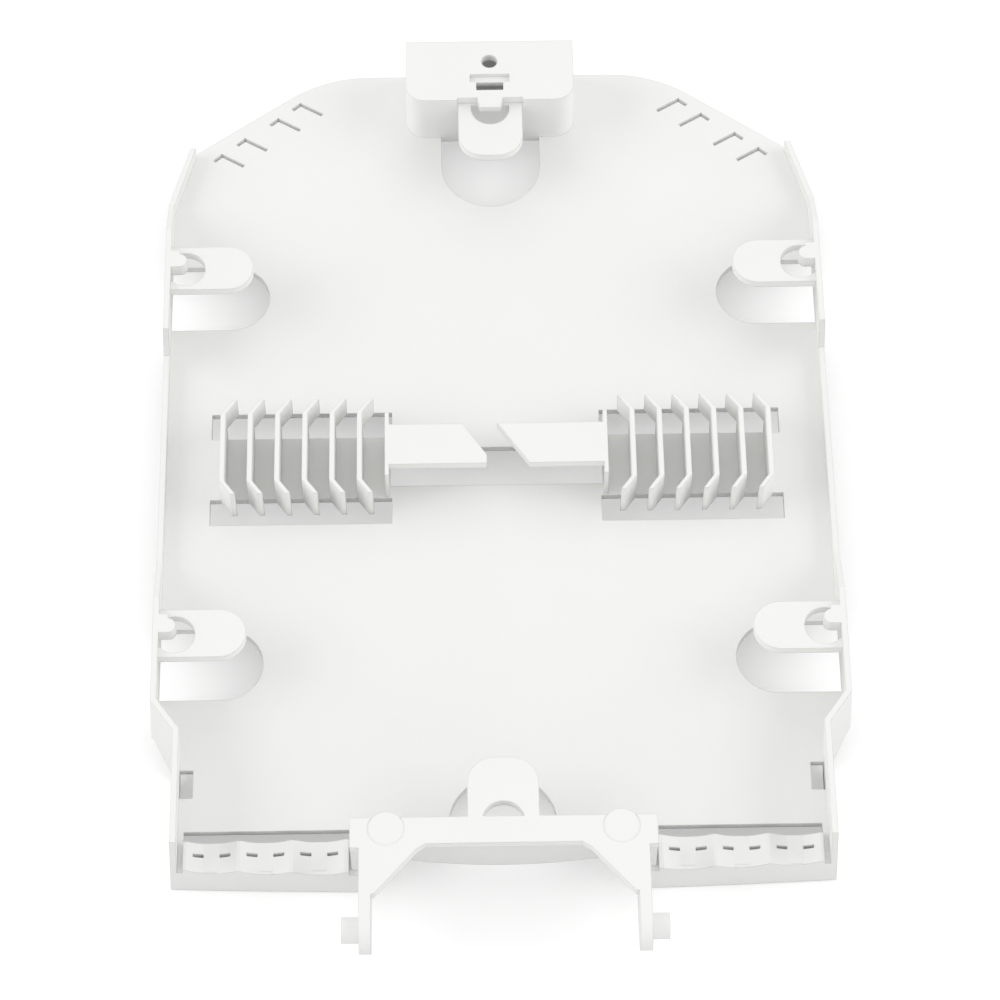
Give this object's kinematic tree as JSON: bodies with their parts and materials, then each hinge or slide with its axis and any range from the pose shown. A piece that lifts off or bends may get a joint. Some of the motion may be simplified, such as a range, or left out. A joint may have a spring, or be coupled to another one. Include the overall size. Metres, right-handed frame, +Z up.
{
  "type": "fibre splice tray",
  "caption": "Flat moulded tray for optical fibre splices, with sprung splice holders, retaining tabs, cable-tie seats and a hinged end.",
  "frame": {"origin": "centre of the tray's bounding box, on the plane of its lowest edges", "axes": "+Y from the hinge end towards the end block, +X to the right when seen from the hinge end, +Z up out of the open face"},
  "size_m": [0.1128, 0.1734, 0.017],
  "materials": {
    "tray_plastic": "smooth matt off-white moulded plastic"
  },
  "bodies": {
    "root": {"splice_tray": "tray_plastic"}
  },
  "joints": []
}
